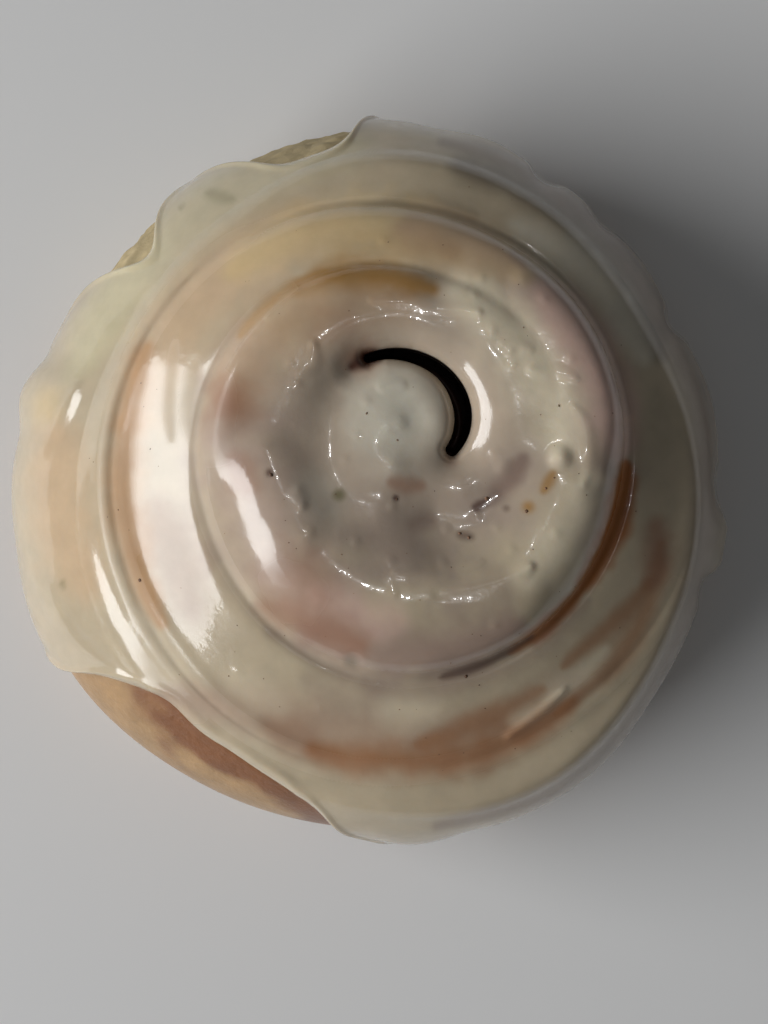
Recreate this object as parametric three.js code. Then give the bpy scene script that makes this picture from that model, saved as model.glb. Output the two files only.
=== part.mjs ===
// A glazed cinnamon roll, about 98 mm across and 42 mm tall: millimetres, +Z up, standing on z = 0.
//
// The dough is one strip wound outwards anticlockwise, as seen from above. Its turns are parted by a
// crevice that spirals from near the middle to the outer wall, with the cinnamon filling standing in it.
// A thick glaze lies over the top, sags into the crevice and hangs over the wall in lobes. Near the
// middle the crevice gapes as an open slot through the glaze.
//
// Everything is worked out along the coil. phi is the winding angle in degrees, which keeps growing
// from turn to turn, and u runs across the strip from its inner edge (0) to its outer edge (1).

import * as THREE from "three";

// The coil
const COIL_CENTRE = { x: 5.6, y: 4.8 };
const TURN = 360;
const STEP = 6;
const STATIONS_PER_TURN = TURN / STEP;
const CREVICE_START = -60;
const CREVICE_END = 1080;
const CORE_RADIUS = 3.6;
// The crevice's distance from the coil's centre, every 45 degrees from CREVICE_START: three turns,
// the lower left of each wider than its upper right.
const CREVICE_SPACING = 45;
const CREVICE_RADII = [
  CORE_RADIUS, 5.2, 8.0, 10.4, 12.4, 13.1, 14.3, 14.4,
  14.2, 16.2, 19.6, 20.6, 24.1, 26.6, 28.3, 30.4,
  31.1, 29.7, 28.2, 29.4, 33.4, 38.2, 41.6, 43.9,
  40.6, 36.4, 37.5,
];
const CREVICE_MERGE = 60; // over this angle the crevice's end runs out into the shoulder

// The strip's heights
const CROWN = 40.2;
const CROWN_UNTIL = 660; // the middle disc is level up to here, and each later turn lies lower
const DROP_PER_TURN = 5.6;
const SLOT_DIP = 3.2; // how far the crevice lies below the turn outside it, beside the slot
const DISC_DIP = 2.2; // on its way across the disc
const RING_DIP = 1.7; // and between the outer turns
const DISC_DIP_FROM = 130;
const RING_DIP_FROM = 400;
const CORE_RISE = 0.3;
const STRIP_LEVELS = [0, 0.1, 0.32, 0.64, 0.88, 1];
const DIP_SHARE = 0.36; // of the strip's width, at its inner edge
const SLOPE_SHARE = 0.3; // of the strip's fall is an even slope, and the rest is a steep outer wall
const FALL_POWER = 5;

// The roll's outline and wall
// The dough's radius at its widest, measured from the roll's own middle, every 30 degrees.
const WALL_SPACING = 30;
const WALL_RADII = [47.0, 46.7, 48.2, 48.2, 46.7, 46.0, 47.6, 48.8, 47.7, 47.8, 49.2, 47.4];
const WIDEST_Z = 14;
const SHOULDER_DROP = 3.5;
const SHOULDER_INSET = 4.2;
const SLOPING_SIDE = { at: 240, half: 50, inset: 4.6 }; // the wall leans back further at the lower left
const SHOULDER_ANGLE = 60;
const BASE_TUCK = 5;
const WALL_ANGLES = [SHOULDER_ANGLE, 38, 15, -12, -45, -90];

// The filling and the gap that it stands in
const FILLING_HALF = 0.45;
const CLEARANCE = 0.3;
const GAP_HALF = FILLING_HALF + CLEARANCE;
const GAP_FADE = 30;
const GAP_END = 1050;
const GAP_CLOSES = 18;
const FILLING_FROM = CREVICE_START + GAP_FADE;
const FILLING_TO = GAP_END - GAP_CLOSES;
const FILLING_FOOT = 0.3;
const FILLING_SINK = 0.2;

// The open slot near the middle
const SLOT_FROM = -12;
const SLOT_TO = 132;
const SLOT_HALF = 1.1;
const SLOT_DOUGH_EXTRA = 0.25;
const SLOT_FILLING_TOP = 25;

// The glaze
const GLAZE_ON_CREST = 1.3;
const GLAZE_IN_CREVICE = 2.2;
const GLAZE_GAP = 0.4;
const CURTAIN_GAP = 0.6;
const CURTAIN_THICKNESS = 1.4;
const CURTAIN_EDGE = -8; // wall angle where the curtain ends between its drips
const CURTAIN_ROWS = 5;
// Each drip: where it hangs, its half width, how many degrees of wall it runs down, and its extra
// thickness. The negative ones are where the curtain stops short and the dough shows.
const DRIPS = [
  { at: 0, half: 15, run: 18, swell: 0.8 },
  { at: 24, half: 14, run: 26, swell: 0.6 },
  { at: 48, half: 15, run: 14, swell: 0.5 },
  { at: 72, half: 15, run: 26, swell: 0.9 },
  { at: 96, half: 14, run: 10, swell: 0.4 },
  { at: 114, half: 16, run: -56, swell: -0.4 },
  { at: 144, half: 15, run: -50, swell: -0.4 },
  { at: 174, half: 16, run: 28, swell: 0.8 },
  { at: 198, half: 15, run: 12, swell: 0.4 },
  { at: 240, half: 36, run: -76, swell: -0.4 },
  { at: 279, half: 15, run: 22, swell: 0.9 },
  { at: 300, half: 15, run: 26, swell: 0.5 },
  { at: 324, half: 14, run: 6, swell: 0.2 },
  { at: 342, half: 14, run: 34, swell: 1.4 },
];
const HIGHEST_EDGE = 52; // wall angle that the curtain's edge never rises above

const radians = THREE.MathUtils.degToRad;
const { lerp, smoothstep, euclideanModulo } = THREE.MathUtils;

// A smooth curve through values given at equal spacings.
function throughValues(values, position) {
  const last = values.length - 1;
  const i = THREE.MathUtils.clamp(Math.floor(position), 0, last - 1);
  const t = position - i;
  const at = (k) => values[THREE.MathUtils.clamp(k, 0, last)];
  const slopeHere = (at(i + 1) - at(i - 1)) / 2;
  const slopeNext = (at(i + 2) - at(i)) / 2;
  const rise = at(i + 1) - at(i);
  const bend = 3 * rise - 2 * slopeHere - slopeNext;
  const twist = slopeHere + slopeNext - 2 * rise;
  return at(i) + t * (slopeHere + t * (bend + t * twist));
}

// 1 at the middle of a bump, falling smoothly to 0 at half its width.
function bump(angle, at, half) {
  const away = Math.abs(euclideanModulo(angle - at + TURN / 2, TURN) - TURN / 2);
  return 1 - smoothstep(away, 0, half);
}

// The outline

// The dough's outer radius, measured from the coil's centre.
function outlineRadius(phi) {
  const angle = radians(phi);
  const count = WALL_RADII.length;
  const padded = [-1, ...WALL_RADII.keys(), count, count + 1].map(
    (k) => WALL_RADII[euclideanModulo(k, count)],
  );
  let radius = WALL_RADII[0];
  for (let pass = 0; pass < 12; pass++) {
    const x = COIL_CENTRE.x + radius * Math.cos(angle);
    const y = COIL_CENTRE.y + radius * Math.sin(angle);
    const around = euclideanModulo(THREE.MathUtils.radToDeg(Math.atan2(y, x)), TURN);
    radius += throughValues(padded, 1 + around / WALL_SPACING) - Math.hypot(x, y);
  }
  return radius;
}

function shoulderInset(phi) {
  const { at, half, inset } = SLOPING_SIDE;
  return SHOULDER_INSET + inset * bump(phi, at, half);
}

function shoulderRadius(phi) {
  return outlineRadius(phi) - shoulderInset(phi);
}

// The strip's outer edge: the core's circle, then the crevice, then the shoulder.
function edgeRadius(phi) {
  if (phi <= CREVICE_START) return CORE_RADIUS;
  if (phi >= CREVICE_END) return shoulderRadius(phi);
  const crevice = throughValues(CREVICE_RADII, (phi - CREVICE_START) / CREVICE_SPACING);
  const merge = smoothstep(phi, CREVICE_END - CREVICE_MERGE, CREVICE_END);
  return merge > 0 ? lerp(crevice, shoulderRadius(phi), merge) : crevice;
}

// The heights

function crestHeight(phi) {
  const turns = (phi - CROWN_UNTIL) / TURN;
  return CROWN - (DROP_PER_TURN * (turns + Math.hypot(turns, 0.15))) / 2;
}

// The shoulder's height. Where the strip's tail ends, the heights before and after it meet halfway.
function shoulderHeight(phi) {
  const t = (phi - CREVICE_END) / TURN;
  const meet = (smoothstep(t, 0.8, 1) - 1 + smoothstep(t, 0, 0.2)) / 2;
  return crestHeight(phi) - SHOULDER_DROP + DROP_PER_TURN * meet;
}

// How far the crevice lies below the crest of the turn outside it.
function creviceDip(phi) {
  const begun = smoothstep(phi, CREVICE_START, CREVICE_START + GAP_FADE);
  const inDisc = smoothstep(phi, DISC_DIP_FROM, DISC_DIP_FROM + 50);
  const inRings = smoothstep(phi, RING_DIP_FROM, RING_DIP_FROM + 80);
  return begun * lerp(lerp(SLOT_DIP, DISC_DIP, inDisc), RING_DIP, inRings);
}

function edgeHeight(phi) {
  if (phi <= CREVICE_START) return CROWN;
  if (phi >= CREVICE_END) return shoulderHeight(phi);
  const merge = smoothstep(phi, CREVICE_END - CREVICE_MERGE, CREVICE_END);
  return lerp(crestHeight(phi + TURN) - creviceDip(phi), shoulderHeight(CREVICE_END), merge);
}

// The strip's top: out of its inner crevice, over a gentle slope and down its outer wall.
function stripHeight(phi, u) {
  const crest = crestHeight(phi);
  const dip = (crest - edgeHeight(phi - TURN)) * Math.max(0, 1 - u / DIP_SHARE) ** 2;
  const fall = crest - edgeHeight(phi);
  return crest - dip - fall * (SLOPE_SHARE * u + (1 - SLOPE_SHARE) * u ** FALL_POWER);
}

// The gaps

function gapHalf(phi) {
  const begun = smoothstep(phi, CREVICE_START, CREVICE_START + GAP_FADE);
  const open = begun * (1 - smoothstep(phi, GAP_END - GAP_CLOSES, GAP_END));
  const extra = slotHalf(phi) > GAP_HALF ? slotHalf(phi) + SLOT_DOUGH_EXTRA - GAP_HALF : 0;
  return GAP_HALF * open + extra;
}

function slotHalf(phi) {
  if (phi <= SLOT_FROM || phi >= SLOT_TO) return 0;
  const t = (phi - SLOT_FROM) / (SLOT_TO - SLOT_FROM);
  return SLOT_HALF * Math.sqrt(Math.sin(Math.PI * t));
}

// Surfaces built from shared, named corners

class Skin {
  constructor() {
    this.corners = new Map();
    this.points = [];
    this.faces = [];
  }

  corner(key, point) {
    if (!this.corners.has(key)) {
      this.corners.set(key, this.corners.size);
      this.points.push(point.x, point.y, point.z);
    }
    return this.corners.get(key);
  }

  triangle(a, b, c) {
    if (a !== b && b !== c && c !== a) this.faces.push(a, b, c);
  }

  // A face with its corners anticlockwise as seen from outside.
  quad(a, b, c, d) {
    this.triangle(a, b, c);
    this.triangle(a, c, d);
  }

  geometry() {
    const positions = new THREE.Float32BufferAttribute(this.points, 3);
    const made = new THREE.BufferGeometry().setAttribute("position", positions);
    made.setIndex(this.faces);
    made.computeVertexNormals();
    return made;
  }
}

const FIRST_SHOULDER = (CREVICE_END - CREVICE_START) / STEP;
const LAST_STATION = FIRST_SHOULDER + STATIONS_PER_TURN;
const phiOf = (station) => CREVICE_START + station * STEP;

function pointAt(phi, radius, z) {
  const angle = radians(phi);
  return new THREE.Vector3(
    COIL_CENTRE.x + radius * Math.cos(angle),
    COIL_CENTRE.y + radius * Math.sin(angle),
    z,
  );
}

// One sheet over the whole coil, as the strip's turns side by side. Neighbouring turns share their
// corners along the crevice, except where isOpen says that a gap parts them. place gives the point of a
// station and level, and the sheet faces down where facingDown is true.
class CoilSheet {
  constructor(skin, name, levels, isOpen, place) {
    Object.assign(this, { skin, name, levels, isOpen, place });
    this.lastLevel = levels.length - 1;
  }

  corner(station, level) {
    if (station === 0) return this.onCore(0);
    if (station === LAST_STATION) return this.corner(FIRST_SHOULDER, this.lastLevel);
    if (level === 0 && station < STATIONS_PER_TURN) return this.onCore(station);
    if (level === 0 && !this.isOpen(station - STATIONS_PER_TURN)) {
      return this.corner(station - STATIONS_PER_TURN, this.lastLevel);
    }
    const key = `${this.name} ${station} ${level}`;
    return this.skin.corner(key, this.place(phiOf(station), level));
  }

  onCore(station) {
    return this.skin.corner(`${this.name} core ${station}`, this.place(phiOf(station), 0));
  }

  cover(middle, facingDown = false) {
    const { skin, lastLevel } = this;
    const face = (a, b, c, d) => (facingDown ? skin.quad(d, c, b, a) : skin.quad(a, b, c, d));
    const centre = skin.corner(`${this.name} middle`, middle);
    for (let i = 0; i < STATIONS_PER_TURN; i++) {
      const next = this.onCore((i + 1) % STATIONS_PER_TURN);
      face(centre, this.onCore(i), next, centre);
    }
    for (let i = 0; i < LAST_STATION; i++) {
      for (let j = 0; j < lastLevel; j++) {
        const near = [this.corner(i, j), this.corner(i, j + 1)];
        const far = [this.corner(i + 1, j + 1), this.corner(i + 1, j)];
        face(...near, ...far);
      }
    }
  }
}

// The two walls of a gap, from one sheet down to another.
function gapWalls(skin, upper, lower, firstStation, lastStation) {
  for (let i = firstStation; i < lastStation; i++) {
    const outside = i + STATIONS_PER_TURN;
    const ends = (sheet, from, level) => [sheet.corner(from, level), sheet.corner(from + 1, level)];
    const [nearTop, farTop] = ends(upper, i, upper.lastLevel);
    const [nearFoot, farFoot] = ends(lower, i, lower.lastLevel);
    skin.quad(nearTop, nearFoot, farFoot, farTop);
    const [outerNearTop, outerFarTop] = ends(upper, outside, 0);
    const [outerNearFoot, outerFarFoot] = ends(lower, outside, 0);
    skin.quad(outerFarTop, outerFarFoot, outerNearFoot, outerNearTop);
  }
}

// Rows of corners round the wall, joined into faces. Each row gives a corner for a station.
function joinRows(skin, rows, facingIn = false) {
  for (let i = FIRST_SHOULDER; i < LAST_STATION; i++) {
    for (let k = 0; k + 1 < rows.length; k++) {
      const around = [rows[k](i), rows[k + 1](i), rows[k + 1](i + 1), rows[k](i + 1)];
      if (facingIn) around.reverse();
      skin.quad(...around);
    }
  }
}

// The wall's profile at one place round the roll. angle goes from the shoulder down through the widest
// point at 0 to the base at -90, and off is a distance out from the wall's surface.
function wallPoint(phi, angle, off = 0) {
  const t = radians(angle);
  const above = angle > 0;
  const shoulder = radians(SHOULDER_ANGLE);
  const reach = above ? shoulderInset(phi) / (1 - Math.cos(shoulder)) : BASE_TUCK;
  const rise = above ? (shoulderHeight(phi) - WIDEST_Z) / Math.sin(shoulder) : WIDEST_Z;
  const outward = new THREE.Vector2(rise * Math.cos(t), reach * Math.sin(t)).normalize();
  const radius = outlineRadius(phi) - reach * (1 - Math.cos(t)) + off * outward.x;
  return pointAt(phi, radius, WIDEST_Z + rise * Math.sin(t) + off * outward.y);
}

// A round place on the wall: stations a turn apart share it.
const aroundWall = (station) => FIRST_SHOULDER + (station % STATIONS_PER_TURN);
const wallPhi = (station) =>
  CREVICE_END + euclideanModulo(phiOf(station) - CREVICE_END, TURN);

// The radius of each level across the strip. The inner levels keep clear of the gaps, and the first
// and last lie on the crevices themselves, or on the slot's lips.
function levelRadius(phi, level) {
  const [inside, outside] = [phi - TURN, phi];
  if (level === 0) return edgeRadius(inside) + slotHalf(inside);
  if (level === STRIP_LEVELS.length - 1) return edgeRadius(outside) - slotHalf(outside);
  const inner = edgeRadius(inside) + gapHalf(inside);
  const outer = edgeRadius(outside) - gapHalf(outside);
  return lerp(inner, outer, STRIP_LEVELS[level]);
}

function levelHeight(phi, level) {
  const [inner, outer] = [edgeRadius(phi - TURN), edgeRadius(phi)];
  const width = outer - inner;
  return stripHeight(phi, width > 1e-6 ? (levelRadius(phi, level) - inner) / width : 0);
}

// The dough

// A level's point on the dough, with the strip's two edges drawn back by the gap.
function doughTopPoint(phi, level) {
  const last = STRIP_LEVELS.length - 1;
  const radius = levelRadius(phi, level);
  const z = levelHeight(phi, level);
  const isCrevice = level === 0 || (level === last && phi < CREVICE_END);
  if (!isCrevice) return pointAt(phi, radius, z);
  const crevice = level === 0 ? phi - TURN : phi;
  const inward = level === 0 ? 1 : -1;
  const drawn = edgeRadius(crevice) + inward * gapHalf(crevice);
  const across = levelRadius(phi, level + inward) - radius;
  const share = Math.abs(across) > 1e-6 ? (drawn - radius) / across : 0;
  return pointAt(phi, drawn, lerp(z, levelHeight(phi, level + inward), share));
}

function doughFootPoint(phi, level) {
  if (level === 1 && phi >= CREVICE_END) return wallPoint(phi, -90);
  const crevice = level === 0 ? phi - TURN : phi;
  const inward = level === 0 ? 1 : -1;
  return pointAt(phi, edgeRadius(crevice) + inward * gapHalf(crevice), 0);
}

function makeDough() {
  const skin = new Skin();
  const lastGap = (GAP_END - CREVICE_START) / STEP;
  const isOpen = (station) => station > 0 && station < lastGap;
  const top = new CoilSheet(skin, "top", STRIP_LEVELS, isOpen, doughTopPoint);
  const foot = new CoilSheet(skin, "foot", [0, 1], isOpen, doughFootPoint);
  top.cover(pointAt(0, 0, CROWN + CORE_RISE));
  foot.cover(pointAt(0, 0, 0), true);
  gapWalls(skin, top, foot, 0, lastGap);
  const rows = WALL_ANGLES.map((angle, k) => (station) => {
    if (k === 0) return top.corner(station, top.lastLevel);
    if (k === WALL_ANGLES.length - 1) return foot.corner(station, foot.lastLevel);
    const place = aroundWall(station);
    return skin.corner(`wall ${k} ${place}`, wallPoint(wallPhi(station), angle));
  });
  joinRows(skin, rows);
  return skin.geometry();
}

// The filling: a thin wall that stands in the gap.
function makeFilling() {
  const skin = new Skin();
  const firstStation = Math.round((FILLING_FROM - CREVICE_START) / STEP);
  const lastStation = Math.round((FILLING_TO - CREVICE_START) / STEP);
  const section = (station) => {
    const phi = phiOf(station);
    const inSlot = Math.min(1, slotHalf(phi) / GAP_HALF);
    const top = lerp(edgeHeight(phi) - FILLING_SINK, SLOT_FILLING_TOP, inSlot);
    const corner = (name, side, z) =>
      skin.corner(`${name} ${station}`, pointAt(phi, edgeRadius(phi) + side * FILLING_HALF, z));
    return [
      corner("inner foot", -1, FILLING_FOOT),
      corner("outer foot", 1, FILLING_FOOT),
      corner("outer top", 1, top),
      corner("inner top", -1, top),
    ];
  };
  for (let i = firstStation; i < lastStation; i++) {
    const [near, far] = [section(i), section(i + 1)];
    for (let k = 0; k < near.length; k++) {
      const next = (k + 1) % near.length;
      skin.quad(near[k], far[k], far[next], near[next]);
    }
  }
  skin.quad(...section(firstStation));
  skin.quad(...section(lastStation).reverse());
  return skin.geometry();
}

// The glaze

// How far down the wall the curtain reaches, as a wall angle.
function curtainEdge(phi) {
  const runs = DRIPS.reduce((sum, d) => sum + d.run * bump(phi, d.at, d.half), 0);
  return Math.min(HIGHEST_EDGE, CURTAIN_EDGE - runs);
}

function curtainThickness(phi) {
  const swell = DRIPS.reduce((sum, d) => sum + d.swell * bump(phi, d.at, d.half), 0);
  return CURTAIN_THICKNESS + swell;
}

// A point of one side of the glaze over the coil: off above the dough, or out from it at the shoulder.
function glazePoint(phi, level, off) {
  const last = STRIP_LEVELS.length - 1;
  if (level === last && phi >= CREVICE_END) return wallPoint(phi, SHOULDER_ANGLE, off);
  return pointAt(phi, levelRadius(phi, level), levelHeight(phi, level) + off);
}

function glazeThickness(phi, level) {
  const last = STRIP_LEVELS.length - 1;
  if (level === last && phi >= CREVICE_END) return GLAZE_ON_CREST;
  if (level > 0 && level < last) return GLAZE_ON_CREST;
  const crevice = level === 0 ? phi - TURN : phi;
  const closed = 1 - Math.min(1, slotHalf(crevice) / SLOT_HALF);
  const begun = smoothstep(crevice, CREVICE_START, CREVICE_START + GAP_FADE);
  const merge = smoothstep(crevice, CREVICE_END - CREVICE_MERGE, CREVICE_END);
  return lerp(GLAZE_ON_CREST, GLAZE_IN_CREVICE, closed * begun * (1 - merge));
}

function makeGlaze() {
  const skin = new Skin();
  const slotFirst = (SLOT_FROM - CREVICE_START) / STEP;
  const slotLast = (SLOT_TO - CREVICE_START) / STEP;
  const isOpen = (station) => station > slotFirst && station < slotLast;
  const outerPoint = (phi, level) => glazePoint(phi, level, glazeThickness(phi, level));
  const innerPoint = (phi, level) => glazePoint(phi, level, GLAZE_GAP);
  const outer = new CoilSheet(skin, "outer", STRIP_LEVELS, isOpen, outerPoint);
  const inner = new CoilSheet(skin, "inner", STRIP_LEVELS, isOpen, innerPoint);
  outer.cover(pointAt(0, 0, CROWN + CORE_RISE + GLAZE_ON_CREST));
  inner.cover(pointAt(0, 0, CROWN + CORE_RISE + GLAZE_GAP), true);
  gapWalls(skin, outer, inner, slotFirst, slotLast);

  const curtainRow = (sheet, name, offset) => (k) => (station) => {
    if (k === 0) return sheet.corner(station, sheet.lastLevel);
    const phi = wallPhi(station);
    const share = k / CURTAIN_ROWS;
    const angle = lerp(SHOULDER_ANGLE, curtainEdge(phi), share);
    const point = wallPoint(phi, angle, offset(phi, share));
    return skin.corner(`${name} ${k} ${aroundWall(station)}`, point);
  };
  const outward = (phi, share) => lerp(GLAZE_ON_CREST, curtainThickness(phi), Math.sin(Math.PI * share));
  const rowsOf = (row) => Array.from({ length: CURTAIN_ROWS + 1 }, (_, k) => row(k));
  const outerRows = rowsOf(curtainRow(outer, "curtain", outward));
  const innerRows = rowsOf(curtainRow(inner, "lining", () => CURTAIN_GAP));
  joinRows(skin, outerRows);
  joinRows(skin, innerRows, true);
  joinRows(skin, [outerRows[CURTAIN_ROWS], innerRows[CURTAIN_ROWS]]);
  return skin.geometry();
}

// The three pieces

function piece(name, geometry, color, roughness) {
  const material = new THREE.MeshStandardMaterial({ color, roughness, metalness: 0 });
  const mesh = new THREE.Mesh(geometry, material);
  mesh.name = name;
  return mesh;
}

const roll = new THREE.Group();
roll.add(piece("dough_coil", makeDough(), 0xcf9d63, 0.75));
roll.add(piece("cinnamon_filling", makeFilling(), 0x4a2412, 0.6));
roll.add(piece("glaze", makeGlaze(), 0xe6dabd, 0.2));

export default roll;
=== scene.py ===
# The looks of a glazed cinnamon roll: dough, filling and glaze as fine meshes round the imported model.
# Shapes are worked out in millimetres, measured from the coil's centre, and turned to metres at the end.
import itertools
import math

import bpy
import numpy as np
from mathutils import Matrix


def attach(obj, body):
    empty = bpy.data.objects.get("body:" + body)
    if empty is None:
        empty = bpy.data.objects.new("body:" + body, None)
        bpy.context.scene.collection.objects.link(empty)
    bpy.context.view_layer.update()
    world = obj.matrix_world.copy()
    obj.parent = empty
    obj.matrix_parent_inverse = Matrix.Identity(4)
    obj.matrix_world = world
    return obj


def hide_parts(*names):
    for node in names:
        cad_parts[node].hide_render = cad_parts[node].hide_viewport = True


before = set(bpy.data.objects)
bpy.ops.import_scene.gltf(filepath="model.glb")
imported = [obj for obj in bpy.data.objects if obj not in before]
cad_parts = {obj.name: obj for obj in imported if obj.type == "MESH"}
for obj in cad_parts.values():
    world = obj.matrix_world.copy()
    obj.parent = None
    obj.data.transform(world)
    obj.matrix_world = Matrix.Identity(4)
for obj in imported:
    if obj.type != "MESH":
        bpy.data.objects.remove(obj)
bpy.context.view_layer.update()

MM = 0.001
TURN = 360.0

# The coil, as in the solids
COIL_CENTRE = (5.6, 4.8)
CREVICE_START = -60.0
CREVICE_END = 1080.0
CREVICE_SPACING = 45.0
CREVICE_MERGE = 60.0
LAPS = 4  # how many times the crevice and the shoulder after it pass each angle
CORE_RADIUS = 3.6
CREVICE_RADII = [
    CORE_RADIUS, 5.1, 7.4, 9.9, 11.8, 11.9, 12.3, 13.2,
    14.2, 16.2, 19.6, 20.6, 24.1, 26.6, 28.3, 30.4,
    29.8, 28.1, 27.9, 29.4, 33.4, 37.7, 41.0, 43.4,
    40.6, 36.4, 37.5,
]
CROWN = 40.2
CENTRE_SINK = 1.4
CENTRE_FROM = 250.0
CENTRE_TO = 480.0
CROWN_UNTIL = 700.0
DROP_PER_TURN = 6.8
DROP_SOFTNESS = 0.15
ENDS_MEET = 0.2  # the share of a turn over which the shoulder's two ends meet
LOW_CREST = (915.0, 75.0, 1.0)  # the second turn lies lower at the left: at, half, depth
CREVICE_DIPS = [
    0.0, 3.5, 3.8, 3.6, 3.0, 1.8, 1.4, 1.4,
    1.3, 0.7, 0.5, 0.7, 0.9, 1.0, 1.1, 1.6,
    1.6, 1.6, 1.5, 1.2, 1.2, 1.5, 1.3, 0.6,
    0.3, 0.3, 0.3,
]
# Across a strip: the share of its width that dips to the inner crevice, and the shares of its fall
# that come as an even slope and as a growing one. The rest is the steep edge.
SLOT_PROFILE = (0.66, 0.10, 0.30)
DISC_PROFILE = (0.42, 0.12, 0.10)
RING_PROFILE = (0.20, 0.42, 0.16)
DISC_PROFILE_AT = (330.0, 450.0)
RING_PROFILE_AT = (750.0, 850.0)
LEFT_PROFILE = (0.25, 0.46, 0.49)  # on the outer turn's left side
LEFT_PROFILE_AT = (1256, 80)
LEFT_PROFILE_FROM = (CREVICE_END, CREVICE_END + 60)
EVEN_PROFILE = (0.16, 0.82, 0.05)  # on the second turn's left side
EVEN_PROFILE_AT = (896, 62, 0.4)  # at, half, and the share of it where the profile holds in full
GENTLE_PROFILE = (0.20, 0.75, 0.15)  # where the last two turns run together at the lower right
GENTLE_PROFILE_AT = (930.0, 975.0)
GENTLE_PROFILE_UNTIL = (CREVICE_END, CREVICE_END + 40)
SOFT_EDGE = 4.0
STEEP_EDGE = 14.0
# Where the disc's rim bends down evenly, at the left: the even share, and the power of the rest
RIM_SLOPE = (-0.10, 3.4)
RIM_SLOPE_AT = (538.0, 558.0)
RIM_SLOPE_UNTIL = (590.0, 640.0)
LEANING_WALLS = [(693, 36, 0.5, 6.0), (830, 60, 0.5, 8.0)]  # at, half, share of it in full, power

# The outline and the wall
WALL_SPACING = 30.0
OUTLINE_STEP = 0.5
OUTLINE_ROUNDS = 12
WALL_RADII = [47.0, 46.3, 47.4, 48.2, 46.7, 46.0, 47.6, 48.8, 47.7, 47.8, 49.2, 47.4]
WIDEST_Z = 14.0
SHOULDER_SPACING = 45.0
SHOULDER_DROPS = [3.5, 5.0, 5.4, 4.2, 3.2, 3.2, 2.6, 3.0, 3.5]
SHOULDER_INSETS = [3.6, 4.0, 4.6, 7.5, 9.3, 7.8, 3.0, 2.2, 3.6]
SHOULDER_ANGLE = 60.0
STEP_ENDS = 20.0  # the wall's angle down to which the top's lumps fade out
LEAN_ENDS = 25.0  # the wall's angle from which the glaze lies square to it
WALL_BEND = 1.35  # 1 makes the wall an ellipse, 2 a straight slope
BASE_ANGLE = -90.0
BASE_TUCK = 5.0

# The slot
SLOT_FROM = -13.0
SLOT_TO = 118.0
SLOT_SPACING = 26.6
SLOT_HALVES = [0.85, 1.08, 1.15, 1.0, 0.85, 0.6]
# The glaze's wall down the slot, row by row: how deep it lies, and how far it goes towards near black, the
# filling's brown with painted shade
SLOT_WALL = (1.0, 2.2, 3.6, 5.5)  # how deep each row of the glaze's wall in the slot lies
SLOT_SHADE_SHARES = (0.85, 1.0, 1.0)  # and how dark it is
SLOT_LIP = (0.9, 1.1)  # how deep the glaze rounds down into the slot, and from how far
SLOT_FADE = 6.0
SLOT_FLOOR = 24.0
HOLE_MARGIN = 0.35  # how much wider than the slot the dough's hole is
# out to this margin the dough in the slot's hole is painted near black: the filling's brown and painted
# shade
HOLE_SHADE_MARGIN = 1.0
HOLE_WITHIN = 0.6  # the share of the way to the shoulder that it stays inside

# The glaze
GLAZE_ON_CREST = 1.3
GLAZE_LEAST = 0.25
GLAZE_INTO_DOUGH = 0.15
MIDDLE_THICKNESS = 1.5
LEAST_COVER = 0.5  # over the dough near the slot
GLAZE_FLOW = 0.75  # how far the glaze rounds off what it covers
CREASE_FLOW = 0.4  # less in the crevices
THICK_FLOW = 1.3  # more in the middle, out to where it ends
THICK_FLOW_ENDS = (17.0, 24.0)
CURTAIN_THICKNESS = 1.3
CURTAIN_EDGE = -8.0
HIGHEST_EDGE = 58.0
EDGE_CIRCLE = 30.0  # where the noise for the edge is read
EDGE_RAGGED = 3.0
BARE_RAGGED = 0.25
EDGE_SOFTNESS = 3.0  # in columns
BEAD_WIDTH = 1.5
BEAD_SWELL = (0.25, 1.4, 1.0)  # share of the thickness, place before the edge, and width

# The lobes: at, half width, how far they run down in degrees of the wall, and how much they swell
DRIPS = [
    (10, 14, 22, 0.7), (25, 5, 0, -0.9), (38, 11, 24, 0.5), (50, 5, 0, -0.4), (56, 9, 12, 0.3),
    (63, 5, 0, -0.9), (75, 12, 26, 0.9), (96, 14, 10, 0.4), (114, 16, -56, -0.2), (144, 15, -50, -0.2),
    (172, 7, 24, 1.6), (185, 12, 16, 0.4), (204, 12, 12, 0.3), (240, 36, -76, -0.1), (271, 9, 24, 1.1),
    (285, 8, 14, 0.2), (300, 14, 24, 0.5), (324, 12, 6, 0.1), (334, 4, 0, -0.6), (340, 5, 22, 1.5),
    (345, 5, 22, 1.5), (353, 5, 8, -0.6),
]

# Grains of cinnamon in the glaze: the ones that stand out, and the others by chance
SPECK_COUNT = 110
SPECK_SEED = 7
SPECK_HALVES = (0.05, 0.12)
SPECK_REACH = 45.0
SPECK_SUNK = 0.45
SPECK_FROM_SLOT = 0.8
SPECK_STRETCH = (0.75, 1.35)
SPECK_UNEVEN = (0.85, 1.15)
PLACED_SPECKS = [  # angle, radius and half size
    (194, 18.2, 0.3), (255, 7.7, 0.28), (322, 11.9, 0.3), (150, 6.6, 0.2), (181, 1.9, 0.15),
    (300, 14.2, 0.22), (297, 13.2, 0.26), (328, 16.9, 0.25), (340, 17.8, 0.2), (345, 18.4, 0.16),
    (13, 18.8, 0.17), (207, 39.4, 0.3), (229, 45.6, 0.3), (283, 30.9, 0.25),
]

# Where the dough is bare: the glaze's border by its radius, from one angle on at even steps
BARE = [
    (211, 4, [53.4, 52.4, 50.0, 47.6, 46.4, 46.7, 47.1, 46.9, 47.4, 48.0, 48.8, 50.0, 52.0, 52.6]),
    (94, 5, [44.0, 42.6, 40.8, 40.4, 40.8, 43.0, 45.4, 46.4]),
    (131, 4, [48.8, 48.2, 47.8, 47.5, 48.0, 49.0]),
]

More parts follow.
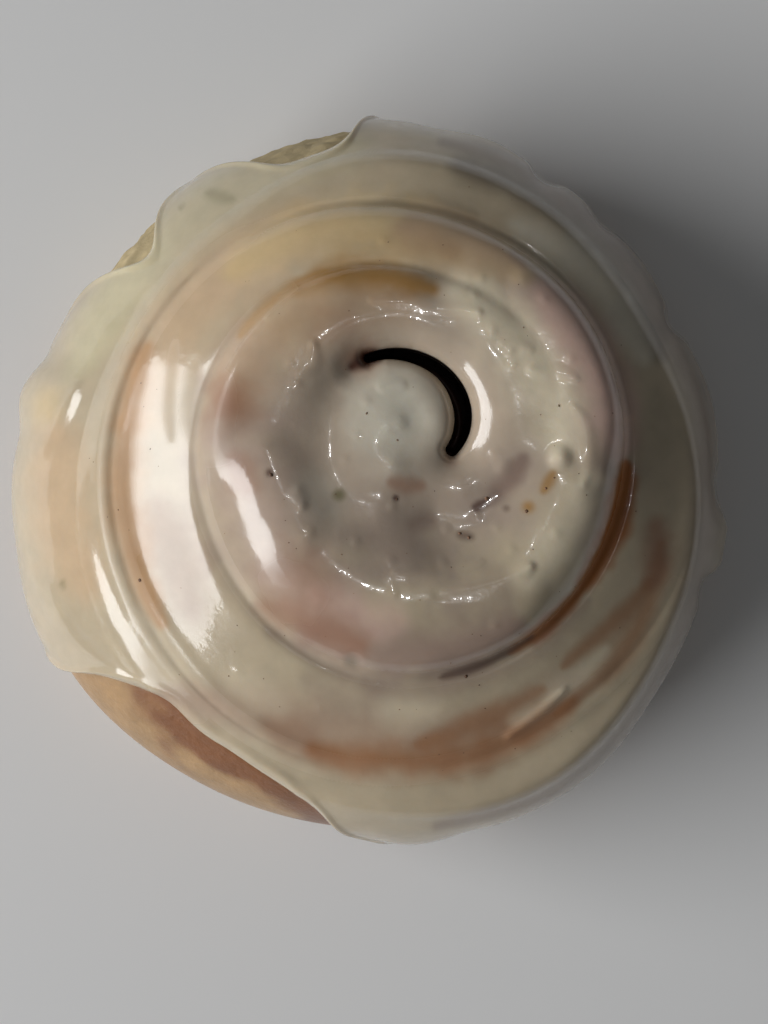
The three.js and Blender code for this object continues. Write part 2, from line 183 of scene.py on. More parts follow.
# The meshes' fineness
COLUMNS = 480
GLAZE_ROWS = 190
COMMON_EDGE = 1.3  # the rows of points are laid out as if the glaze ended here, and bent to its edge
DOUGH_COLUMNS = 540
DOUGH_ROWS = (60, 110, 60)  # over the top, down the wall and under the base
CRUMB_DEPTH = 0.45
GRID_STEP = 0.25
GRID_HALF = 60.0

# The torn side, and the darker crust: at, half
TORN_AT = (128, 46)
TORN_FOOT = (2, 6)
TOASTED_AT = (242, 22)
TOASTED_UNTIL = (49.0, 52.0)
TOASTED_TOO = (262, 20)

# The underside's seam, and the sheet of filling
SEAM_DEPTH = 0.9
SEAM_WIDTH = 0.6
SEAM_ENDS = 1055.0
FILLING_FROM = -30.0
FILLING_TO = 1050.0
FILLING_STEP = 3.0
FILLING_HALF = 0.42
FILLING_FOOT = 0.3
FILLING_UNDER_EDGE = 0.9


# Curves and noise

NOISE_KEYS = (73856093, 19349663, 83492791)
NOISE_SEED_KEY = 2654435761
NOISE_MIXES = ((15, 2246822519), (13, 3266489917))


def smoothstep(x, low, high):
    t = np.clip((x - low) / (high - low), 0, 1)
    return t * t * (3 - 2 * t)


def lerp(a, b, t):
    return a + (b - a) * t


def span(x, begin, end):
    """1 between two fades, each given by its two ends."""
    return smoothstep(x, *begin) * (1 - smoothstep(x, *end))


def window(x, at, half, full=0.0):
    """1 at one place and over a share of its half width, falling smoothly to 0."""
    return 1 - smoothstep(np.abs(x - at), full * half, half)


def on_circle(angle, radius):
    """The x and y of a place given by its angle in degrees."""
    return radius * np.cos(np.radians(angle)), radius * np.sin(np.radians(angle))


def through_values(values, position):
    """A smooth curve through values given at equal spacings."""
    values = np.asarray(values, float)
    last = len(values) - 1
    i = np.clip(np.floor(position).astype(int), 0, last - 1)
    t = position - i
    before, here, there, after = (values[np.clip(i + k, 0, last)] for k in (-1, 0, 1, 2))
    slope_here = (there - before) / 2
    slope_there = (after - here) / 2
    rise = there - here
    bend = 3 * rise - 2 * slope_here - slope_there
    twist = slope_here + slope_there - 2 * rise
    return here + t * (slope_here + t * (bend + t * twist))


def bump(angle, at, half):
    """A window round a full turn."""
    return window((angle - at + TURN / 2) % TURN - TURN / 2, 0, half)


def noise(points, size, seed):
    """Smooth noise from -1 to 1 with bumps of about the given size. points is (..., 3)."""
    cell = points / size
    low = np.floor(cell).astype(np.int64)
    part = cell - low
    part = part * part * (3 - 2 * part)
    total = np.zeros(points.shape[:-1])
    for corner in np.ndindex(2, 2, 2):
        keys = (low + corner).astype(np.uint64) * np.array(NOISE_KEYS, np.uint64)
        mixed = np.bitwise_xor.reduce(keys, axis=-1) ^ np.uint64(seed * NOISE_SEED_KEY % 2**32)
        for shift, factor in NOISE_MIXES:
            mixed = (mixed ^ (mixed >> np.uint64(shift))) * np.uint64(factor) & np.uint64(2**32 - 1)
        value = (mixed ^ (mixed >> np.uint64(16))).astype(float) / 2**32
        weight = np.prod(np.where(corner, part, 1 - part), axis=-1)
        total += value * weight
    return total * 2 - 1


# The outline and the crevice

def make_outline():
    """The dough's outer radius from the coil's centre, at even steps of the angle."""
    angles = np.arange(0, TURN, OUTLINE_STEP)
    padded = WALL_RADII[-1:] + WALL_RADII + WALL_RADII[:2]
    radius = np.full(angles.shape, WALL_RADII[0])
    for _ in range(OUTLINE_ROUNDS):
        x, y = on_circle(angles, radius)
        x, y = x + COIL_CENTRE[0], y + COIL_CENTRE[1]
        around = np.degrees(np.arctan2(y, x)) % TURN
        radius += through_values(padded, 1 + around / WALL_SPACING) - np.hypot(x, y)
    return radius


OUTLINE = make_outline()


def outline_radius(phi):
    place = (phi % TURN) / OUTLINE_STEP
    low = np.floor(place).astype(int) % len(OUTLINE)
    return lerp(OUTLINE[low], OUTLINE[(low + 1) % len(OUTLINE)], place % 1)


def shoulder_inset(phi):
    return through_values(SHOULDER_INSETS, (phi - CREVICE_END) % TURN / SHOULDER_SPACING)


def shoulder_radius(phi):
    return outline_radius(phi) - shoulder_inset(phi)


def edge_radius(phi):
    phi = np.asarray(phi, float)
    crevice = through_values(CREVICE_RADII, (phi - CREVICE_START) / CREVICE_SPACING)
    merge = smoothstep(phi, CREVICE_END - CREVICE_MERGE, CREVICE_END)
    radius = lerp(crevice, shoulder_radius(phi), merge)
    return np.where(phi <= CREVICE_START, CORE_RADIUS, radius)


# The heights

def crest_height(phi):
    turns = (phi - CROWN_UNTIL) / TURN
    sink = CENTRE_SINK * (1 - smoothstep(phi, CENTRE_FROM, CENTRE_TO))
    at, half, depth = LOW_CREST
    low = depth * window(phi, at, half)
    return CROWN - sink - low - DROP_PER_TURN * (turns + np.hypot(turns, DROP_SOFTNESS)) / 2


def shoulder_height(phi):
    t = (phi - CREVICE_END) / TURN
    meet = (smoothstep(t, 1 - ENDS_MEET, 1) - 1 + smoothstep(t, 0, ENDS_MEET)) / 2
    drop = through_values(SHOULDER_DROPS, (phi - CREVICE_END) % TURN / SHOULDER_SPACING)
    return crest_height(phi) - drop + DROP_PER_TURN * meet


def edge_height(phi):
    merge = smoothstep(phi, CREVICE_END - CREVICE_MERGE, CREVICE_END)
    dip = through_values(CREVICE_DIPS, (phi - CREVICE_START) / CREVICE_SPACING)
    z = lerp(crest_height(phi + TURN) - dip, shoulder_height(CREVICE_END), merge)
    z = np.where(phi >= CREVICE_END, shoulder_height(phi), z)
    return np.where(phi <= CREVICE_START, CROWN - CENTRE_SINK, z)


def strip_profile(phi):
    """The three numbers of the profile at each winding angle, blended from the ones above."""
    steps = (
        (DISC_PROFILE, smoothstep(phi, *DISC_PROFILE_AT)),
        (RING_PROFILE, smoothstep(phi, *RING_PROFILE_AT)),
        (GENTLE_PROFILE, span(phi, GENTLE_PROFILE_AT, GENTLE_PROFILE_UNTIL)),
        (LEFT_PROFILE, bump(phi, *LEFT_PROFILE_AT) * smoothstep(phi, *LEFT_PROFILE_FROM)),
        (EVEN_PROFILE, window(phi, *EVEN_PROFILE_AT)),
    )
    profile = SLOT_PROFILE
    for other, share in steps:
        profile = [lerp(a, b, share) for a, b in zip(profile, other)]
    return profile


def strip_height(phi, u):
    """The height across a strip between two crevices. u is 0 at the inner one and 1 at the outer one."""
    dip_share, even, growing = strip_profile(phi)
    crest = crest_height(phi)
    dip = (crest - edge_height(phi - TURN)) * np.maximum(0, 1 - u / dip_share) ** 2
    steep = STEEP_EDGE
    for at, half, full, leaning in LEANING_WALLS:
        steep = lerp(steep, leaning, window(phi, at, half, full))
    power = lerp(SOFT_EDGE, steep, smoothstep(phi, *DISC_PROFILE_AT))
    fall = even * u + growing * u**2 + (1 - even - growing) * u**power
    rim_fall = RIM_SLOPE[0] * u + (1 - RIM_SLOPE[0]) * u ** RIM_SLOPE[1]
    fall = lerp(fall, rim_fall, span(phi, RIM_SLOPE_AT, RIM_SLOPE_UNTIL))
    return crest - dip - (crest - edge_height(phi)) * fall


def wall_point(phi, angle):
    """Radius and height on the wall, and its outward normal as (out, up)."""
    t = np.radians(angle)
    above = angle > 0
    bend = np.where(above, WALL_BEND, 1.0)
    reach = np.where(above, wall_reach(phi), BASE_TUCK)
    rise = np.where(above, wall_rise(phi), WIDEST_Z)
    cos, sin = np.maximum(np.cos(t), 1e-6), np.sin(t)
    size = np.maximum(np.abs(sin), 1e-6)
    out = np.where(above, rise * (size / cos) ** (bend - 2), rise * cos)
    up = np.where(above, reach, reach * sin)
    length = np.hypot(out, up) + 1e-9
    radius = outline_radius(phi) - reach * (1 - cos**bend)
    return radius, WIDEST_Z + rise * np.sign(sin) * size**bend, out / length, up / length


def wall_reach(phi):
    return shoulder_inset(phi) / (1 - math.cos(math.radians(SHOULDER_ANGLE)) ** WALL_BEND)


def wall_rise(phi):
    top = shoulder_height(CREVICE_END + (phi - CREVICE_END) % TURN)
    return (top - WIDEST_Z) / math.sin(math.radians(SHOULDER_ANGLE)) ** WALL_BEND


# Maps over the roll, seen from above

AXIS = np.arange(-GRID_HALF, GRID_HALF + GRID_STEP / 2, GRID_STEP)
GRID_X, GRID_Y = np.meshgrid(AXIS, AXIS)
GRID_THETA = np.degrees(np.arctan2(GRID_Y, GRID_X))
GRID_R = np.hypot(GRID_X, GRID_Y)
GRID_POINTS = np.stack([GRID_X, GRID_Y, np.zeros_like(GRID_X)], axis=-1)


def sample(field, x, y):
    """A map's value at any place."""
    gx = np.clip((x + GRID_HALF) / GRID_STEP, 0, len(AXIS) - 1.001)
    gy = np.clip((y + GRID_HALF) / GRID_STEP, 0, len(AXIS) - 1.001)
    ix, iy = gx.astype(int), gy.astype(int)
    tx, ty = gx - ix, gy - iy
    near = lerp(field[iy, ix], field[iy, ix + 1], tx)
    far = lerp(field[iy + 1, ix], field[iy + 1, ix + 1], tx)
    return lerp(near, far, ty)


def blur(field, size):
    """The map smoothed over a distance in millimetres."""
    waves = np.fft.fftfreq(len(AXIS), GRID_STEP)
    falloff = np.exp(-2 * (math.pi * size) ** 2 * (waves[:, None] ** 2 + waves[None, :] ** 2))
    return np.real(np.fft.ifft2(np.fft.fft2(field) * falloff))


def first_angle(theta):
    """The winding angle at which the crevice passes a direction first."""
    return (theta - CREVICE_START) % TURN + CREVICE_START


def place_on_coil(theta, r):
    """The winding angle, and the place across the strip from 0 to 1."""
    start = first_angle(theta)
    edges = np.stack([edge_radius(start + TURN * k) for k in range(-1, LAPS + 1)])
    turn = np.clip((r[None] >= edges).sum(axis=0), 0, LAPS + 1)
    inner = np.take_along_axis(edges, np.maximum(turn - 1, 0)[None], 0)[0]
    outer = np.take_along_axis(edges, turn[None], 0)[0]
    width = np.maximum(outer - inner, 1e-6)
    return start + TURN * (turn - 1), np.clip((r - inner) / width, 0, 1)


def make_dough_map():
    phi, u = place_on_coil(GRID_THETA, GRID_R)
    z = np.where(GRID_R < CORE_RADIUS, CROWN - CENTRE_SINK, strip_height(phi, u))
    gone = np.clip((outline_radius(GRID_THETA) - GRID_R) / wall_reach(GRID_THETA), 0, 1)
    cos = (1 - gone) ** (1 / WALL_BEND)
    wall = WIDEST_Z + wall_rise(GRID_THETA) * (1 - cos**2) ** (WALL_BEND / 2)
    return np.where(GRID_R > shoulder_radius(GRID_THETA), wall, z)


def crevice_distance(phi_from, phi_to, fade):
    """How far each place is from the crevice within a range of it, and how much of it reaches there."""
    nearest = np.full(GRID_R.shape, GRID_HALF)
    share = np.zeros(GRID_R.shape)
    for k in range(LAPS):
        phi = first_angle(GRID_THETA) + TURN * k
        away = np.abs(GRID_R - edge_radius(phi))
        here = span(phi, (phi_from - fade, phi_from), (phi_to, phi_to + fade))
        closer = (away < nearest) & (here > 0)
        nearest = np.where(closer, away, nearest)
        share = np.where(closer, here, share)
    return nearest, share


RAW_DOUGH = make_dough_map()
IN_DISC = 1 - 0.7 * smoothstep(GRID_R, 20, 27)  # the glaze's ripples are smaller outside the disc
LUMPS = 0.22 * noise(GRID_POINTS, 11.0, 1) + 0.1 * IN_DISC * noise(GRID_POINTS, 5.0, 2)
DOUGH_MAP = blur(RAW_DOUGH, 0.35) + LUMPS
RAGGED = noise(GRID_POINTS, 2.4, 7) + 0.5 * noise(GRID_POINTS, 1.0, 8)  # for the edges of strokes

# Places where the glaze is raised or sunk: points as (angle, radius), half width and height
RELIEF = [
    # The hollow in the middle and the swells round it
    ([(288, 10), (307, 12.5), (328, 13)], 5.6, -1.5),
    ([(150, 3.5), (190, 4.5), (230, 4)], 3.6, 0.7),
    ([(118, 11.6), (132, 11.6)], 1.8, -0.5),
    ([(184, 18.6), (200, 18.4), (222, 18.2)], 3.4, 0.5),
    ([(70, 20), (40, 21.5), (10, 22), (345, 21.5)], 5.2, 0.6),
    ([(55, 24.4), (20, 24.8), (350, 24.8)], 3.0, 0.4),
    ([(353, 18.6)], 1.0, 0.6),  # a small lump beside the filling's marks
    ([(255, 28.8)], 0.8, -0.3),  # a burst bubble on the disc's rim
    # The edges of the outer turn's glaze at the left, and a fold at the lower right
    ([(185, 51.5), (180, 48.5), (175, 46), (170, 44.6)], 1.0, 0.3),
    ([(288, 40.3), (292.5, 39.4), (297, 38.6), (302, 37.7)], 0.55, 0.41),
    ([(194, 54), (202, 52.3), (210, 51.5), (215, 50.4), (218, 49.3)], 1.2, 0.4),
]

# Fine ripples that catch the light, as curves, and drops of the same kind, as (angle, radius)
RIPPLE_HALF = 0.75
RIPPLE_HEIGHT = 0.13
FINE_HEIGHT = 0.05
RIPPLES = [
    [(262, 16.9), (283, 17), (300, 17.5)],
    [(107, 18.2), (92, 17.4), (78, 16.9), (62, 18)],
    [(150, 16.4), (143, 15.6), (136, 17.2)],
    [(31, 17), (27, 18.6), (25, 20.2), (20, 22)],
    [(12, 20.5), (4, 21.8), (352, 22.3), (345, 22.2)],
    [(47, 16.2), (42, 17.6), (37, 18.6)],
    [(122, 7.7), (110, 7.2), (99, 7)],
    [(351, 10.2), (347, 11.4), (341, 12)],
    [(137, 2.2), (118, 3)],
    [(203, 15.6), (212, 16.4)],
    [(140, 23.9), (133, 24.2), (127, 23.8)],
]
LEVEL_RIPPLE = [(279, 19.7), (290, 20.3), (301, 21), (313, 21.7)]  # the long one, level from end to end
LEVEL_RIPPLE_HALF = 1.2
DROP_HALF = 0.5
DROP_HEIGHT = 0.08
DROPS = [
    (154, 16), (148, 18), (140, 7.6), (176, 7), (197, 8.8), (211, 16), (253, 8.7), (222, 17.2),
    (241, 14.6), (260, 15.4), (263, 19.3), (291, 11.9), (284, 15.9), (310, 12.6), (314, 15.3), (312, 18.6),
    (327, 21.5), (294, 25.5), (62, 17.7), (67, 19.9), (67, 22.1), (47, 24.2), (42, 16.4), (37, 15.7),
    (27, 22.2), (12, 26), (136, 17.2), (54, 16.9), (98, 25.4), (36, 34), (251, 36.5), (233, 37),
]

# How much the glaze fills the crevice: from, to, fade, depth
POOLS = [
    (150, 420, 40, 0.2),
    (520, 620, 30, 0.5),
    (800, 880, 30, 0.6),
    (910, 965, 30, 1.3),
    (1000, 1080, 35, 0.8),
]
POOL_WIDTH = 1.7


def curve_through(points, spacing=0.3):
    """Closely spaced (x, y) places along a smooth curve through points given as (angle, radius)."""
    xy = np.array([on_circle(angle, radius) for angle, radius in points])
    if len(xy) == 1:
        return xy
    count = max(2, int(np.sum(np.hypot(*np.diff(xy, axis=0).T)) / spacing))
    place = np.linspace(0, len(xy) - 1, count)
    return np.stack([through_values(xy[:, 0], place), through_values(xy[:, 1], place)], axis=-1)


def stroke(points, half, soft=0.9, ragged=0.2):
    """A map that is 1 along a curve, fades out past half its width, and tapers at its ends."""
    curve = curve_through(points)
    share = np.linspace(0, 1, len(curve)) if len(curve) > 1 else np.array([0.5])
    halves = half * (0.3 + 0.7 * np.sin(math.pi * share) ** 0.6)
    reach = half * (1 + soft) * 1.3
    low = np.clip(((curve.min(axis=0) - reach + GRID_HALF) / GRID_STEP).astype(int), 0, len(AXIS) - 1)
    high = np.clip(((curve.max(axis=0) + reach + GRID_HALF) / GRID_STEP).astype(int) + 2, 1, len(AXIS))
    box = (slice(low[1], high[1]), slice(low[0], high[0]))
    near = np.full(GRID_R[box].shape, 9.0)
    for (px, py), h in zip(curve, halves):
        near = np.minimum(near, np.hypot(GRID_X[box] - px, GRID_Y[box] - py) / h)
    near += ragged * RAGGED[box]
    mask = np.zeros(GRID_R.shape)
    mask[box] = 1 - smoothstep(near, 1 - soft, 1 + soft)
    return mask


def make_glaze_map():
    """The height of the glaze's top."""
    pooled = RAW_DOUGH + GLAZE_ON_CREST
    for phi_from, phi_to, fade, depth in POOLS:
        away, share = crevice_distance(phi_from, phi_to, fade)
        pooled += depth * share * np.exp(-((away / POOL_WIDTH) ** 2))
    outside = smoothstep(GRID_R, *THICK_FLOW_ENDS)
    rounded = np.minimum(blur(pooled, GLAZE_FLOW), blur(pooled, CREASE_FLOW))
    top = lerp(blur(pooled, THICK_FLOW), rounded, outside) + LUMPS
    for points, half, height in RELIEF:
        top += height * stroke(points, half, 1.0, 0.05 / half)
    top += FINE_HEIGHT * IN_DISC * noise(GRID_POINTS, 3.0, 3)
    for points in RIPPLES:
        top += RIPPLE_HEIGHT * stroke(points, RIPPLE_HALF, 1.0, 0.1)
    share = stroke(LEVEL_RIPPLE, LEVEL_RIPPLE_HALF, 1.0, 0.05)
    level = sample(top, *curve_through(LEVEL_RIPPLE).T).mean()
    top = lerp(top, level, share) + RIPPLE_HEIGHT * share
    for place in DROPS:
        top += DROP_HEIGHT * stroke([place], DROP_HALF, 1.0, 0.15)
    return top


GLAZE_MAP = make_glaze_map()


# The slot

def make_slot_map():
    """The distance to the slot's edge, below 0 inside it."""
    angles = np.linspace(SLOT_FROM, SLOT_TO, 90)
    x, y = on_circle(angles, edge_radius(angles))
    half = through_values(SLOT_HALVES, (angles - SLOT_FROM) / SLOT_SPACING)
    near = np.full(GRID_R.shape, 20.0)
    for px, py, h in zip(x, y, half):
        near = np.minimum(near, np.hypot(GRID_X - px, GRID_Y - py) - h)
    return near


SLOT_MAP = make_slot_map()
GLAZE_MAP -= SLOT_LIP[0] * np.maximum(0, 1 - np.maximum(SLOT_MAP, 0) / SLOT_LIP[1]) ** 2
DOUGH_MAP = np.minimum(DOUGH_MAP, GLAZE_MAP - LEAST_COVER)
THICKNESS = np.maximum(GLAZE_MAP - DOUGH_MAP, GLAZE_LEAST)


# Surfaces over the whole roll

def dough_surface(theta, s):
    """Points over the dough. s is 0 at the middle, 1 at the shoulder and 2 at the foot of the wall.

    Gives x, y, z and the direction that the glaze is laid in.
    """
    on_top = s <= 1
    angle = lerp(SHOULDER_ANGLE, BASE_ANGLE, np.clip(s - 1, 0, 1))
    radius, z, out, up = wall_point(theta, angle)
    rim = shoulder_radius(theta)
    x, y = on_circle(theta, np.where(on_top, s * rim, radius))
    top_of_wall = wall_point(theta, np.full_like(theta, SHOULDER_ANGLE))[1]
    step = sample(DOUGH_MAP, *on_circle(theta, rim)) - top_of_wall
    fade = smoothstep(angle, STEP_ENDS, SHOULDER_ANGLE)
    z = np.where(on_top, sample(DOUGH_MAP, x, y), z + step * fade)
    lean = np.where(on_top, 0, 1 - smoothstep(angle, LEAN_ENDS, SHOULDER_ANGLE))
    out, up = out * lean, lerp(1, up, lean)
    length = np.hypot(out, up)
    return np.stack([x, y, z], -1), np.stack([*on_circle(theta, out / length), up / length], -1)


def wall_share(angle):
    return 1 + (SHOULDER_ANGLE - angle) / (SHOULDER_ANGLE - BASE_ANGLE)


def glaze_edge(theta):
    """Where the glaze ends, as the share s over the dough's surface."""
    runs = sum(run * bump(theta, at, half) for at, half, run, _ in DRIPS)
    around = np.stack([*on_circle(theta, EDGE_CIRCLE), 0 * theta], -1)
    ragged = noise(around, 5.0, 11) + 0.5 * noise(around, 2.0, 12)
    edge = wall_share(np.minimum(HIGHEST_EDGE, CURTAIN_EDGE - runs + EDGE_RAGGED * ragged))
    for start, step, radii in BARE:
        place = (theta - start) / step
        radius = through_values(radii, place) + BARE_RAGGED * ragged
        cos = np.clip(1 - (outline_radius(theta) - radius) / wall_reach(theta), 0.01, 1)
        angle = np.degrees(np.arccos(cos ** (1 / WALL_BEND)))
        bare = np.where(angle > SHOULDER_ANGLE, radius / shoulder_radius(theta), wall_share(angle))
        share = span(place, (0, 1), (len(radii) - 2, len(radii) - 1))
        edge = lerp(edge, np.minimum(edge, bare), share)
    soft = np.exp(-((np.arange(-6, 7) / EDGE_SOFTNESS) ** 2))
    return np.convolve(np.concatenate([edge[-6:], edge, edge[:6]]), soft / soft.sum(), "valid")


def glaze_thickness(theta, s, edge, points):
    """How thick the glaze lies at each place over the dough, before its edge."""
    on_top = sample(THICKNESS, points[..., 0], points[..., 1])
    curtain = CURTAIN_THICKNESS + sum(swell * bump(theta, at, half) for at, half, _, swell in DRIPS)
    down = np.clip((s - 1) / np.maximum(edge - 1, 0.02), 0, 1)
    return np.where(s <= 1, on_top, lerp(on_top, curtain, smoothstep(down, 0, 0.7)))


# Meshes

def add_object(name, data):
    made = bpy.data.objects.new(name, data)
    bpy.context.scene.collection.objects.link(made)
    return made


def build(name, points, faces, colours):
    """A mesh object from points in millimetres, with one colour a point, and its gloss as alpha."""
    mesh = bpy.data.meshes.new(name)
    centre = np.array([*COIL_CENTRE, 0])
    mesh.from_pydata(((points + centre) * MM).tolist(), [], faces)
    layer = mesh.color_attributes.new("tint", "FLOAT_COLOR", "POINT")
    if colours.shape[1] == 3:
        colours = np.concatenate([colours, np.ones((len(colours), 1))], axis=1)
    layer.data.foreach_set("color", colours.astype(np.float32).ravel())
    mesh.polygons.foreach_set("use_smooth", [True] * len(mesh.polygons))
    mesh.update()
    return add_object(name, mesh)


def ring_point(columns, i, j):
    """The number of a point on ring j, where ring 0 is one centre point."""
    return 0 if j == 0 else 1 + (j - 1) * columns + i % columns


def ring_quad(columns, i, j):
    """The corners of a quad between the rings j and j + 1, or of a triangle at the centre."""
    corners = [(i, j), (i, j + 1), (i + 1, j + 1), (i + 1, j)]
    return [ring_point(columns, *corner) for corner in (corners if j else corners[:3])]


def ring_faces(columns, rows):
    return [ring_quad(columns, i, j) for j in range(rows) for i in range(columns)]


# Colours, as linear light

CREAM = (0.58, 0.482, 0.338)
ORANGE = (0.56, 0.305, 0.135)
GOLD = (0.72, 0.54, 0.285)
DARK_GOLD = (0.40, 0.205, 0.045)
PINK = (0.40, 0.255, 0.185)
MAUVE = (0.42, 0.33, 0.27)
RUSSET = (0.34, 0.17, 0.10)
PALE_ROSE = (0.52, 0.42, 0.325)
# an ivory glaze colour, also used for a painted reflection
IVORY_AND_SHEEN = (0.78, 0.73, 0.60)
PEACH = (0.44, 0.29, 0.175)
APRICOT = (0.68, 0.48, 0.30)
YELLOWISH = (0.60, 0.535, 0.35)
SOFT_PINK = (0.52, 0.36, 0.25)
AMBER = (0.42, 0.15, 0.035)
ROSE = (0.48, 0.36, 0.29)
BURNT = (0.38, 0.165, 0.065)
DARK_PINK = (0.34, 0.225, 0.19)
BLUSH = (0.84, 0.57, 0.48)
UMBER = (0.07, 0.022, 0.012)
SPECK_BROWN = (0.20, 0.105, 0.055)
DARK_BROWN = (0.10, 0.035, 0.02)
OLIVE = (0.22, 0.19, 0.09)
# Near black: the filling's brown, with painted shade deep in the slot
SLOT_BROWN_AND_SHADE = np.array([0.016, 0.005, 0.003, 0.2])  # with its gloss
CRUST = (0.45, 0.27, 0.12)
TOASTED = (0.24, 0.092, 0.03)
DARK_ROSE = (0.20, 0.12, 0.095)
# Colours for painted shade, where the glaze faces away from the light or lies under an edge
MAUVE_SHADE = (0.31, 0.23, 0.185)
SHADE = (0.26, 0.21, 0.15)
PALE = (0.88, 0.77, 0.57)
# a colour for a painted highlight
HIGHLIGHT_YELLOW = (0.80, 0.735, 0.48)
CRUMB = (0.62, 0.495, 0.28)
